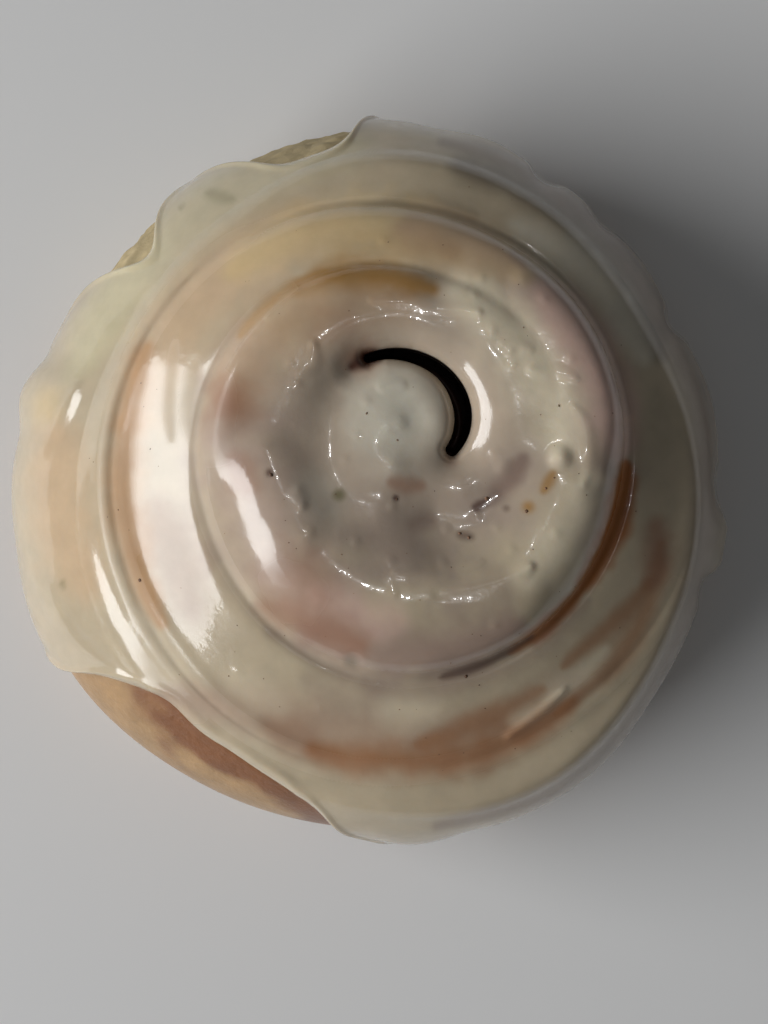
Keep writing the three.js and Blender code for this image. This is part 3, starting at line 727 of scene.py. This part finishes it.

# Colours over the glaze's cream: where the dough or the filling shows through it, other tints of the glaze,
# and painted shade, highlight and reflection. Points as (angle, radius), half width, strength, colour, and
# the softness where it isn't the usual one.
TINTS = [
    # Broad, faint tints where the glaze lies thin over the disc, with painted shade and a painted reflection
    # among them
    ([(200, 8), (60, 8)], 18.5, 0.9, PALE_ROSE, 0.4),
    ([(110, 5.4), (165, 2.4)], 5.4, 0.9, IVORY_AND_SHEEN),
    ([(150, 24), (175, 22), (200, 21.5), (225, 23), (250, 24)], 6.5, 0.8, ROSE),
    # painted shade on the disc's rim at the lower left and bottom
    ([(240, 27), (262, 26.5), (285, 26.5), (298, 26.2)], 4.2, 0.5, MAUVE_SHADE),
    ([(240, 27.8), (262, 27.6), (284, 27.2), (300, 27)], 3.0, 0.6, DARK_PINK),
    ([(238, 23), (254, 23), (266, 22.6)], 2.6, 0.4, BLUSH),
    # painted shade on the disc near its bottom
    ([(284, 21.4), (301, 22)], 2.8, 0.45, MAUVE_SHADE),
    ([(203, 13.8), (222, 13.6)], 2.6, 0.35, IVORY_AND_SHEEN),
    # painted shade in the groove below the lump, on its side that faces away from the light
    ([(245, 13), (262, 13.5), (280, 14.5)], 3.6, 0.45, MAUVE_SHADE),
    ([(72, 20.4), (55, 19.6), (40, 19), (15, 19), (355, 19)], 4.6, 0.9, PALE),
    ([(60, 24), (30, 25), (0, 25), (330, 26)], 4.0, 0.8, ROSE),
    ([(50, 25.4), (32, 25.4), (14, 25.8), (356, 26.4)], 3.2, 0.75, BLUSH),
    ([(348, 22.6), (334, 22.6), (320, 22.6), (309, 22.6)], 3.0, 0.75, PALE),
    ([(235, 10), (270, 11), (310, 11)], 6.5, 0.4, MAUVE),
    ([(350, 14.6), (330, 14), (310, 12.6)], 3.8, 0.6, MAUVE),
    ([(140, 21.5), (122, 19.8), (105, 18.4), (92, 17.4)], 3.4, 0.65, PEACH, 0.95),
    ([(178, 47.2), (191, 47.2), (204, 46.6)], 4.6, 0.7, APRICOT),
    # painted shade on the outer turn at the upper right, which faces away from the light
    ([(80, 36.8), (66, 36.6), (52, 36), (36, 35), (20, 34)], 3.6, 0.85, SHADE),
    ([(226, 46), (246, 39), (262, 39), (285, 39), (305, 37.5)], 3.8, 0.6, PINK),
    ([(194, 33.6), (206, 33.8), (218, 35.4)], 3.6, 0.6, PINK, 0.95),
    # painted reflection: a lighter neutral band on the outer side of the crevice at the upper right
    ([(64, 31), (42, 31.6), (20, 32)], 2.8, 0.6, IVORY_AND_SHEEN),
    # painted shade on the turn at the right
    ([(12, 32.5), (355, 33), (338, 33)], 2.6, 0.25, SHADE),
    # painted shade in the crevice at the top
    ([(102, 30.6), (88, 30.8), (74, 30.4)], 1.3, 0.45, SHADE),
    # painted shade on the second turn at the lower left
    ([(246, 33.6), (256, 33.8), (264, 33.9)], 2.6, 0.4, MAUVE_SHADE),
    ([(265, 34.4), (274, 34.6)], 2.6, 0.4, PALE),
    ([(233, 38.6), (244, 38.4)], 2.4, 0.3, PALE),
    # The steep orange walls between the turns, the golden tops, and painted shadow under the disc's edge
    ([(176, 35.5), (165, 34.6), (150, 33.6), (135, 32.4), (120, 30.6), (106, 28.6)],
     4.8, 0.7, APRICOT),
    ([(160, 36.3), (168, 36.5), (178, 36.8), (188, 37.5), (196, 38.1), (204, 38.9), (216, 40)],
     2.3, 0.75, ORANGE),
    ([(136, 31.8), (120, 30.6), (108, 28.8), (93, 26.8), (79, 25.8), (56, 25.8)], 4.0, 0.75, GOLD),
    ([(92, 26.9), (79, 26.2), (58, 26.4)], 3.2, 0.7, SOFT_PINK),
    ([(149, 25.4), (140, 25), (131, 24.5), (120, 23.6), (110, 22.6)], 1.0, 0.8, DARK_GOLD, 0.8),
    ([(128, 23.8), (117, 22.9), (108, 21.8), (97, 20.4), (82, 19)], 1.9, 0.85, DARK_GOLD, 0.95),
    ([(112, 24.8), (100, 24.4), (88, 24.2), (77, 24.2)], 2.4, 0.22, DARK_GOLD, 0.95),
    ([(124, 20.6), (136, 21.4), (152, 22.6), (168, 22.8)], 4.2, 0.6, APRICOT, 0.95),
    ([(133, 17.2), (121, 17)], 2.4, 0.35, RUSSET, 0.95),
    ([(169, 23)], 3.0, 0.85, RUSSET, 0.95),
    ([(186, 22.6), (197, 21.4)], 1.8, 0.6, RUSSET, 0.95),
    ([(231, 22.6)], 3.8, 0.6, RUSSET, 0.95),
    ([(228, 28.2), (242, 26), (256, 26.6)], 2.6, 0.65, RUSSET, 0.95),
    ([(62, 27.2), (41, 26.8), (26, 27.2), (8, 27.8)], 2.0, 0.6, ROSE),
    ([(354, 27.7), (343, 28), (333, 28.4), (318, 28.7)], 2.0, 1.0, AMBER, 0.5),
    ([(318, 28.8), (307, 29.2), (295, 29.7)], 1.2, 1.0, AMBER, 0.6),
    # a dark line at the foot of the disc's edge: brown, with painted shadow under the edge
    ([(302, 29.3), (288, 29.8), (277, 30.4)], 0.7, 0.8, UMBER, 0.7),
    # painted shadow on the second turn just below the disc's edge
    ([(232, 30.4), (262, 31.7), (283, 31.6), (302, 31.2), (318, 30.6)], 1.5, 0.45, MAUVE_SHADE),
    ([(275, 39.5), (290, 38.6), (305, 37), (320, 36)], 2.6, 0.2, PEACH, 0.95),
    ([(290, 38.4), (301, 37.5), (313, 36.8)], 1.8, 0.6, PALE, 0.95),
    ([(243, 41.2), (252, 41.8)], 2.2, 0.5, RUSSET, 0.95),
    ([(252, 42), (258, 42.1), (266, 41.4), (277, 41.8), (287, 41.2), (295, 40.3), (302, 39.7)],
     2.2, 0.8, BURNT, 0.95),
    ([(298, 40), (312, 39.3), (321, 38), (330, 36.5), (338, 35)], 1.4, 0.65, BURNT, 0.95),
    ([(271, 39.2), (281, 37.3), (291, 36.4), (298, 36.2)], 1.5, 0.6, BURNT, 0.95),
    ([(304, 35), (313, 34.7), (321, 35.2), (330, 35.8)], 1.2, 0.65, BURNT, 0.95),
    ([(341, 33.4), (336, 35.2), (330, 36.2)], 2.0, 0.7, RUSSET, 0.95),
    # The wall's thin glaze, the yellower glaze at the upper left, and a painted highlight there
    ([(100, 40), (120, 42), (145, 43), (168, 46)], 5.0, 0.6, YELLOWISH, 0.8),
    # painted highlight: a lighter yellow patch on the outer turn at the upper left
    ([(142, 43), (152, 43.5), (166, 44.5)], 3.4, 0.3, HIGHLIGHT_YELLOW),
    ([(174, 48.7)], 2.2, 0.6, GOLD),
    ([(202, 49.8)], 0.5, 0.5, OLIVE, 0.8),
    ([(129, 43.2), (126, 39.8)], 0.9, 0.4, OLIVE),
    ([(134, 44.2)], 0.5, 0.5, OLIVE, 0.8),
    # Small marks in the middle, and painted shade in a burst bubble on the disc's rim
    ([(243, 6), (262, 5.8), (283, 5.9)], 1.0, 0.6, RUSSET),
    ([(254, 7.6)], 0.42, 0.95, UMBER, 0.6),
    ([(351, 14.2), (336, 13.2), (322, 12.4)], 1.2, 0.6, DARK_ROSE),
    ([(320, 12.2), (312, 11.6)], 0.6, 0.8, UMBER, 0.7),
    ([(347, 18.2), (338, 17.6)], 0.7, 0.75, DARK_GOLD, 0.8),
    ([(330, 16.8)], 0.75, 0.8, DARK_GOLD, 0.8),
    ([(302, 14.4), (296, 13.2)], 0.6, 0.6, UMBER),
    ([(324, 14.6)], 0.4, 0.5, UMBER),
    ([(217, 11.4)], 0.7, 0.85, OLIVE, 0.8),
    # painted shade in the burst bubble's dent
    ([(254.9, 29.2)], 0.9, 0.7, SHADE, 0.7),
    ([(270, 10.5), (285, 10.5)], 1.2, 0.35, DARK_ROSE),
    ([(193, 18.3)], 0.45, 0.8, UMBER, 0.8),
    ([(332, 5.4)], 0.9, 0.4, RUSSET),
    ([(119, 11.8), (126, 12.8)], 1.9, 0.7, RUSSET),
    ([(111, 11.4), (118, 11.7), (124, 11.9), (130, 12)], 1.1, 0.95, DARK_BROWN, 0.6),
]

# Painted shade on the glaze of the wall at the right, which faces away from the light, smooth along the wall
SKIRT = [
    (274, 51), (292, 50.2), (306, 48), (316, 45.9), (326, 44), (338, 41.6), (353, 39.6), (8, 39.2),
    (20, 37.8), (32, 38), (47, 39.3), (60, 38.8), (72, 40.6), (84, 40.4),
]
SKIRT_HALF = 2.4
SKIRT_SHADE_SHARE = 0.65

# Crevices that the glaze fills without gloss: from, to, fade, half width
DULL = [
    (500, 640, 20, 1.0),
    (640, 860, 20, 0.7),
    (860, 1040, 20, 1.6),
]

# Dull patches: points as (angle, radius), half width and strength
DULL_PATCHES = [
    ([(162, 25.5), (178, 24.8), (184, 25)], 2.6, 0.8),
    ([(219, 43.4), (224, 44), (232, 45)], 2.6, 0.8),
    ([(228, 23.8), (236, 24.6)], 3.2, 0.85),
    ([(157, 33), (166, 31.8), (174, 31.1), (180, 30.7)], 0.9, 0.75),
    ([(160, 29.4), (170, 28.6), (180, 27.9)], 1.4, 0.8),
    ([(160, 36), (175, 36.2), (190, 37.2), (202, 38.4)], 1.0, 0.7),
    ([(196, 34.3), (206, 34.1), (217, 35.2)], 3.6, 0.22),
]


def make_gloss():
    """1 where the glaze is glossy, and 0 where it is dull."""
    gloss = np.ones(GRID_R.shape)
    for phi_from, phi_to, fade, half in DULL:
        away, share = crevice_distance(phi_from, phi_to, fade)
        gloss = np.minimum(gloss, 1 - share * (1 - smoothstep(away, 0.7 * half, 1.3 * half)))
    for points, half, strength in DULL_PATCHES:
        gloss = np.minimum(gloss, 1 - strength * stroke(points, half, 0.95))
    return gloss


def make_glaze_colours():
    colour = np.ones(GRID_R.shape + (3,)) * CREAM
    for points, half, strength, tint, *soft in TINTS:
        share = (strength * stroke(points, half, *soft))[..., None]
        colour = lerp(colour, np.array(tint), share)
    # painted shade on the wall at the right
    share = (SKIRT_SHADE_SHARE * stroke(SKIRT, SKIRT_HALF, ragged=0))[..., None]
    colour = lerp(colour, np.array(MAUVE_SHADE), share)
    return np.concatenate([colour, make_gloss()[..., None]], axis=-1)


GLAZE_COLOURS = make_glaze_colours()


def sample_colour(colours, points):
    return np.stack([sample(colours[..., k], points[..., 0], points[..., 1]) for k in range(4)], -1)


# The glaze

def glaze_layers():
    """The places on the dough that the glaze covers, and its top and underside over them, in rings."""
    theta = np.arange(COLUMNS) * TURN / COLUMNS
    edge = glaze_edge(theta)
    rows = np.linspace(0, 1, GLAZE_ROWS + 1)[1:]
    s = COMMON_EDGE * rows[:, None] + (edge[None, :] - COMMON_EDGE) * rows[:, None] ** 3
    angle = np.broadcast_to(theta, s.shape)
    base, lay = dough_surface(angle, s)
    left = np.linalg.norm(base - base[-1:], axis=-1)
    rounding = np.sqrt(1 - (1 - np.clip(left / BEAD_WIDTH, 0, 1)) ** 2)
    share, at, width = BEAD_SWELL
    swell = 1 + share * np.exp(-(((left - at) / width) ** 2))
    thick = glaze_thickness(angle, s, edge, base) * rounding * swell
    outer, inner = base + lay * thick[..., None], base - lay * GLAZE_INTO_DOUGH
    return base, outer.reshape(-1, 3), inner.reshape(-1, 3)


def slot_quads(base):
    """The quads whose middle is in the slot, and the points on the rim round them."""
    slot = sample(SLOT_MAP, base[..., 0], base[..., 1])
    beside = np.roll(slot, -1, axis=1)
    in_slot = (slot[:-1] + slot[1:] + beside[1:] + beside[:-1]) / 4 < 0
    quads = {(int(i), int(j) + 1) for j, i in np.argwhere(in_slot)}
    uses = {}
    for i, j in quads:
        for corner in ring_quad(COLUMNS, i, j):
            uses[corner] = uses.get(corner, 0) + 1
    return quads, [corner for corner, count in uses.items() if count < 4]


def move_to_slot(rim, outer, inner):
    """Moves the rim's points to the slot's edge."""
    slope_y, slope_x = np.gradient(SLOT_MAP, GRID_STEP)
    at = np.array(rim) - 1
    for _ in range(2):
        x, y = outer[at, 0], outer[at, 1]
        away, gx, gy = sample(SLOT_MAP, x, y), sample(slope_x, x, y), sample(slope_y, x, y)
        steep = gx**2 + gy**2 + 1e-6
        for surface in (outer, inner):
            surface[at, 0] -= away * gx / steep
            surface[at, 1] -= away * gy / steep
    outer[at, 2] = sample(GLAZE_MAP, outer[at, 0], outer[at, 1])


def slot_wall(quads, rim, rows_down):
    """Faces down the slot's wall, between rows of points under its rim."""
    number = {corner: n for n, corner in enumerate(rim)}
    faces = []
    for i, j in quads:
        corners = [ring_point(COLUMNS, *c) for c in ((i, j), (i + 1, j), (i + 1, j + 1), (i, j + 1))]
        neighbours = ((i, j - 1), (i + 1, j), (i, j + 1), (i - 1, j))
        for a, b, (beside, ring) in zip(corners, corners[1:] + corners[:1], neighbours):
            if (beside % COLUMNS, ring) not in quads:
                for up, down in zip(rows_down, rows_down[1:]):
                    face = (up[number[b]], up[number[a]], down[number[a]], down[number[b]])
                    faces.append([int(corner) for corner in face])
    return faces


def make_glaze():
    """The glaze as one closed skin, with the slot open through it."""
    base, outer, inner = glaze_layers()
    quads, rim = slot_quads(base)
    move_to_slot(rim, outer, inner)
    under = 1 + len(outer)
    every = enumerate(ring_faces(COLUMNS, GLAZE_ROWS))
    kept = [face for n, face in every if (n % COLUMNS, n // COLUMNS) not in quads]
    faces = kept + [[corner + under for corner in face[::-1]] for face in kept]
    for i in range(COLUMNS):
        a, b = ring_point(COLUMNS, i, GLAZE_ROWS), ring_point(COLUMNS, i + 1, GLAZE_ROWS)
        faces.append([a, a + under, b + under, b])
    middle = np.array([[0, 0, float(sample(GLAZE_MAP, np.zeros(1), np.zeros(1))[0])]])
    points = np.concatenate([middle, outer, middle - (0, 0, MIDDLE_THICKNESS), inner])
    colours = sample_colour(GLAZE_COLOURS, points)
    rows_down = [np.array(rim)]
    # the rows down the slot's wall go towards near black: the filling's brown and painted shade
    for depth, dark in zip(SLOT_WALL[:-1], SLOT_SHADE_SHARES):
        rows_down.append(np.arange(len(rim)) + len(points))
        points = np.concatenate([points, points[rim] - (0, 0, depth)])
        colours = np.concatenate([colours, lerp(colours[rim], SLOT_BROWN_AND_SHADE, dark)])
    rows_down.append(np.array(rim) + under)
    points[rows_down[-1], 2] = points[rim, 2] - SLOT_WALL[-1]
    return build("glaze_coat", points, faces + slot_wall(quads, rim, rows_down), colours)


# The dough

def make_dough():
    top_rows, wall_rows, base_rows = DOUGH_ROWS
    theta = np.arange(DOUGH_COLUMNS) * TURN / DOUGH_COLUMNS
    s = np.concatenate([np.arange(1, top_rows + 1) / top_rows, 1 + np.arange(1, wall_rows + 1) / wall_rows])
    angle, share = np.meshgrid(theta, s)
    points, lay = dough_surface(angle, share)
    slot = sample(SLOT_MAP, points[..., 0], points[..., 1])
    points[..., 2] = np.where((slot < HOLE_MARGIN) & (share < HOLE_WITHIN), SLOT_FLOOR, points[..., 2])
    crags = 0.6 * noise(points, 1.9, 31) + 0.4 * noise(points, 0.9, 32) - 0.3
    points += lay * (CRUMB_DEPTH * crags * torn_share(points))[..., None]
    shrink = 1 - np.arange(1, base_rows) / base_rows
    under = points[-1][None] * shrink[:, None, None]
    radius = np.hypot(under[..., 0], under[..., 1])
    under[..., 2] = 0
    for k in range(LAPS):
        phi = first_angle(theta[None]) + TURN * k
        seam = SEAM_DEPTH * np.exp(-(((radius - edge_radius(phi)) / SEAM_WIDTH) ** 2))
        under[..., 2] = np.maximum(under[..., 2], np.where(phi > SEAM_ENDS, 0, seam))
    middle = np.array([[0, 0, CROWN - CENTRE_SINK + 0.2]])
    low_middle = np.array([[0, 0, 0.0]])
    every = np.concatenate([middle, points.reshape(-1, 3), under.reshape(-1, 3), low_middle])
    rows = top_rows + wall_rows + base_rows - 1
    faces = ring_faces(DOUGH_COLUMNS, rows)
    for i in range(DOUGH_COLUMNS):
        a, b = ring_point(DOUGH_COLUMNS, i, rows), ring_point(DOUGH_COLUMNS, i + 1, rows)
        faces.append([a, len(every) - 1, b])
    return build("baked_dough", every, faces, dough_colours(every))


def torn_share(points):
    """1 where the crust is torn off and the crumb shows, at the upper left."""
    theta = np.degrees(np.arctan2(points[..., 1], points[..., 0]))
    torn = bump(theta, *TORN_AT) ** 0.5 * smoothstep(points[..., 2], *TORN_FOOT)
    return smoothstep(torn, 0.25, 0.6)


def dough_colours(points):
    """The colours and the gloss, which the torn crumb and the slot's hole don't have."""
    theta = np.degrees(np.arctan2(points[:, 1], points[:, 0]))
    radius = np.hypot(points[:, 0], points[:, 1])
    toasted = bump(theta, *TOASTED_AT) * (1 - smoothstep(radius, *TOASTED_UNTIL)) + bump(theta, *TOASTED_TOO)
    patchy = 0.45 + 0.4 * noise(points, 9.0, 21) + 0.25 * noise(points, 3.0, 22) + 0.7 * toasted
    crust = lerp(np.array(CRUST), np.array(TOASTED), smoothstep(patchy, 0.45, 0.95)[:, None])
    fine = 0.5 + 0.5 * noise(points, 1.4, 33)
    crumb = lerp(np.array(CRUMB), np.array(CRUMB) * 0.72, fine[:, None])
    torn = torn_share(points)[:, None]
    # the dough in the slot's hole is painted near black: the filling's brown and painted shade
    inside = sample(SLOT_MAP, points[:, 0], points[:, 1]) < HOLE_SHADE_MARGIN
    hole = inside[:, None] & (points[:, 2:3] > WIDEST_Z)
    colour = np.where(hole, np.array(UMBER) * 0.3, lerp(crust, crumb, torn))
    return np.concatenate([colour, np.where(hole, 0, 1 - torn)], axis=1)


# The filling

def make_filling():
    """One sheet along the crevice, with four points in each cross-section."""
    phi = np.arange(FILLING_FROM, FILLING_TO, FILLING_STEP)
    fades = [(end - SLOT_FADE, end + SLOT_FADE) for end in (SLOT_FROM, SLOT_TO)]
    top = lerp(edge_height(phi) - FILLING_UNDER_EDGE, SLOT_FLOOR + 1, span(phi, *fades))
    points = []
    for angle, radius, height in zip(phi, edge_radius(phi), top):
        for side, z in ((-1, FILLING_FOOT), (1, FILLING_FOOT), (1, height), (-1, height)):
            points.append((*on_circle(angle, radius + side * FILLING_HALF), z))
    faces = []
    for n in range(len(phi) - 1):
        for k in range(4):
            a, b = 4 * n + k, 4 * n + (k + 1) % 4
            faces.append([a, a + 4, b + 4, b])
    end = 4 * (len(phi) - 1)
    faces += [[0, 1, 2, 3], [end + 3, end + 2, end + 1, end]]
    points = np.array(points)
    return build("cinnamon_sheet", points, faces, np.ones((len(points), 3)) * UMBER)


# The cinnamon's specks

def make_specks():
    """Small grains of cinnamon that lie in the glaze, each an uneven lump."""
    chance = np.random.default_rng(SPECK_SEED)
    grain_points, grain_faces = unit_grain()
    corners = len(grain_points)
    places = list(PLACED_SPECKS)
    while len(places) < SPECK_COUNT:
        theta, r = chance.uniform(0, TURN), SPECK_REACH * math.sqrt(chance.uniform(0.01, 1))
        if r < shoulder_radius(theta) - 1:
            places.append((theta, r, chance.uniform(*SPECK_HALVES)))
    grains, faces = [], []
    for theta, r, size in places:
        x, y = on_circle(np.array([theta]), r)
        if sample(SLOT_MAP, x, y)[0] < SPECK_FROM_SLOT:
            continue
        z = sample(GLAZE_MAP, x, y)
        stretch = chance.uniform(*SPECK_STRETCH, 3) * size
        lump = grain_points * stretch * chance.uniform(*SPECK_UNEVEN, (corners, 1))
        turn = chance.uniform(0, 2 * math.pi)
        turned = [lump @ (math.cos(turn), -math.sin(turn), 0), lump @ (math.sin(turn), math.cos(turn), 0)]
        faces += [[len(grains) * corners + k for k in face] for face in grain_faces]
        grains.append(np.stack([turned[0] + x, turned[1] + y, lump[:, 2] + z - SPECK_SUNK * size], -1))
    warm = 0.6 + 0.8 * chance.uniform(0, 1, (len(grains), 1)).repeat(corners, axis=0)
    return build("cinnamon_specks", np.concatenate(grains), faces, warm * np.array(SPECK_BROWN))


def unit_grain():
    """An icosahedron's points and faces."""
    golden = (1 + math.sqrt(5)) / 2
    corners = [(0, a, b * golden) for a in (-1, 1) for b in (-1, 1)]
    corners = [np.roll(corner, k) for k in range(3) for corner in corners]
    points = np.array(corners) / math.hypot(1, golden)
    edge = 2 / math.hypot(1, golden)
    faces = []
    for a, b, c in itertools.combinations(range(12), 3):
        sides = points[[a, b, c]] - points[[b, c, a]]
        if np.linalg.norm(sides, axis=1).max() < edge * 1.01:
            normal = np.cross(points[b] - points[a], points[c] - points[a])
            faces.append([a, b, c] if normal @ points[a] > 0 else [a, c, b])
    return points, faces


# Materials

def new_material(name):
    """A material, its node tree with the mesh's tint, and the sockets of its shader."""
    material = bpy.data.materials.new(name)
    material.use_nodes = True
    tree = material.node_tree
    tint = tree.nodes.new("ShaderNodeAttribute")
    tint.name = "tint"
    tint.attribute_name = "tint"
    return material, tree, tree.nodes["Principled BSDF"].inputs


def set_values(sockets, values):
    for name, value in values.items():
        sockets[name].default_value = value


def add_node(tree, kind, values):
    node = tree.nodes.new(kind)
    set_values(node.inputs, values)
    return node


def add_noise(tree, scale, detail, roughness=0.55):
    values = {"Scale": scale, "Detail": detail, "Roughness": roughness}
    texture = add_node(tree, "ShaderNodeTexNoise", values)
    place = tree.nodes.new("ShaderNodeTexCoord")
    tree.links.new(place.outputs["Object"], texture.inputs["Vector"])
    return texture.outputs["Fac"]


def link_colour(tree, socket, pattern, dark, light):
    """The mesh's tint, made darker and lighter by a pattern."""
    values = {"From Min": 0.3, "From Max": 0.7, "To Min": dark, "To Max": light}
    spread = add_node(tree, "ShaderNodeMapRange", values)
    tree.links.new(pattern, spread.inputs["Value"])
    mix = tree.nodes.new("ShaderNodeVectorMath")
    mix.operation = "SCALE"
    tree.links.new(tree.nodes["tint"].outputs["Color"], mix.inputs[0])
    tree.links.new(spread.outputs["Result"], mix.inputs["Scale"])
    tree.links.new(mix.outputs["Vector"], socket)


def link_gloss(tree, socket, dull, glossy):
    """A value by the gloss that the mesh carries."""
    gloss = add_node(tree, "ShaderNodeMapRange", {"To Min": dull, "To Max": glossy})
    tree.links.new(tree.nodes["tint"].outputs["Alpha"], gloss.inputs["Value"])
    tree.links.new(gloss.outputs["Result"], socket)


def link_relief(tree, sockets, pattern, strength, distance):
    """A pattern as fine relief."""
    relief = add_node(tree, "ShaderNodeBump", {"Strength": strength, "Distance": distance})
    tree.links.new(pattern, relief.inputs["Height"])
    for socket in sockets:
        tree.links.new(relief.outputs["Normal"], socket)


def glaze_material():
    material, tree, sockets = new_material("cream_glaze")
    set_values(sockets, {"IOR": 1.5, "Coat Roughness": 0.03, "Subsurface Weight": 0.25})
    set_values(sockets, {"Subsurface Radius": (1.0, 0.7, 0.45), "Subsurface Scale": 1.5 * MM})
    link_gloss(tree, sockets["Roughness"], 0.6, 0.16)
    link_gloss(tree, sockets["Coat Weight"], 0.0, 0.6)
    link_colour(tree, sockets["Base Color"], add_noise(tree, 260, 3), 0.94, 1.05)
    normals = (sockets["Normal"], sockets["Coat Normal"])
    link_relief(tree, normals, add_noise(tree, 700, 3), 0.12, 0.2 * MM)
    return material


def dough_material():
    material, tree, sockets = new_material("baked_crust")
    set_values(sockets, {"Coat Roughness": 0.2})
    link_gloss(tree, sockets["Roughness"], 0.85, 0.42)
    link_gloss(tree, sockets["Coat Weight"], 0.0, 0.4)
    link_colour(tree, sockets["Base Color"], add_noise(tree, 180, 5, 0.65), 0.8, 1.15)
    link_relief(tree, [sockets["Normal"]], add_noise(tree, 900, 4, 0.6), 0.5, 0.4 * MM)
    return material


def cinnamon_material(name, roughness, scale, detail, dark, light):
    material, tree, sockets = new_material(name)
    set_values(sockets, {"Roughness": roughness})
    link_colour(tree, sockets["Base Color"], add_noise(tree, scale, detail), dark, light)
    return material


# The pieces

def dress(piece, material, node):
    piece.data.materials.append(material)
    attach(piece, "root")
    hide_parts(node)


dress(make_glaze(), glaze_material(), "glaze")
dress(make_dough(), dough_material(), "dough_coil")
paste = cinnamon_material("cinnamon_paste", 0.5, 1500, 3, 0.6, 1.4)
dress(make_filling(), paste, "cinnamon_filling")
specks = make_specks()
specks.data.materials.append(cinnamon_material("cinnamon_grain", 0.55, 4000, 2, 0.7, 1.3))
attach(specks, "root")


# The floor, the camera and the lights

FLOOR_HALF = 3.0
CAMERA_PLACE = (0.00205, -0.00425, 0.300)
CAMERA_LENS = 72.9
LAMP_AIM = 0.03  # the height that the lamps face

# A window and two small lamps near the camera's axis: azimuth, elevation, distance, size and power
LAMPS = {
    "window": (190, 30, 1.3, (1.5, 0.52), 17.5),
    "ceiling_a": (290, 84, 0.8, (0.022, 0.010), 0.08),
    "ceiling_b": (100, 85, 0.8, (0.022, 0.010), 0.045),
}


def make_floor():
    corners = [(x * FLOOR_HALF, y * FLOOR_HALF, 0) for x, y in ((-1, -1), (1, -1), (1, 1), (-1, 1))]
    mesh = bpy.data.meshes.new("floor")
    mesh.from_pydata(corners, [], [(0, 1, 2, 3)])
    floor = add_object("floor", mesh)
    material = bpy.data.materials.new("floor_white")
    material.use_nodes = True
    sockets = material.node_tree.nodes["Principled BSDF"].inputs
    set_values(sockets, {"Base Color": (0.81, 0.81, 0.81, 1), "Roughness": 0.5})
    mesh.materials.append(material)


def make_camera():
    data = bpy.data.cameras.new("camera")
    data.sensor_width = 36
    data.lens = CAMERA_LENS
    data.clip_start = 0.01
    camera = add_object("camera", data)
    camera.location = CAMERA_PLACE
    bpy.context.scene.camera = camera


def add_lamp(name, azimuth, elevation, distance, size, power):
    """A rectangular lamp that faces the roll. Azimuth is counted from +X towards +Y."""
    data = bpy.data.lights.new(name, "AREA")
    data.shape = "RECTANGLE"
    data.size, data.size_y = size
    data.energy = power
    lamp = add_object(name, data)
    tilt = math.radians(elevation)
    away = np.array([*on_circle(azimuth, math.cos(tilt)), math.sin(tilt)])
    lamp.location = away * distance + (0, 0, LAMP_AIM)
    lamp.rotation_euler = (math.pi / 2 - tilt, 0, math.radians(azimuth) + math.pi / 2)


def make_light():
    for name, lamp in LAMPS.items():
        add_lamp(name, *lamp)
    world = bpy.data.worlds.new("room")
    world.use_nodes = True
    sockets = world.node_tree.nodes["Background"].inputs
    set_values(sockets, {"Color": (0.95, 0.98, 1.0, 1), "Strength": 0.075})
    bpy.context.scene.world = world


make_floor()
make_camera()
make_light()
bpy.context.scene.view_settings.view_transform = "Standard"
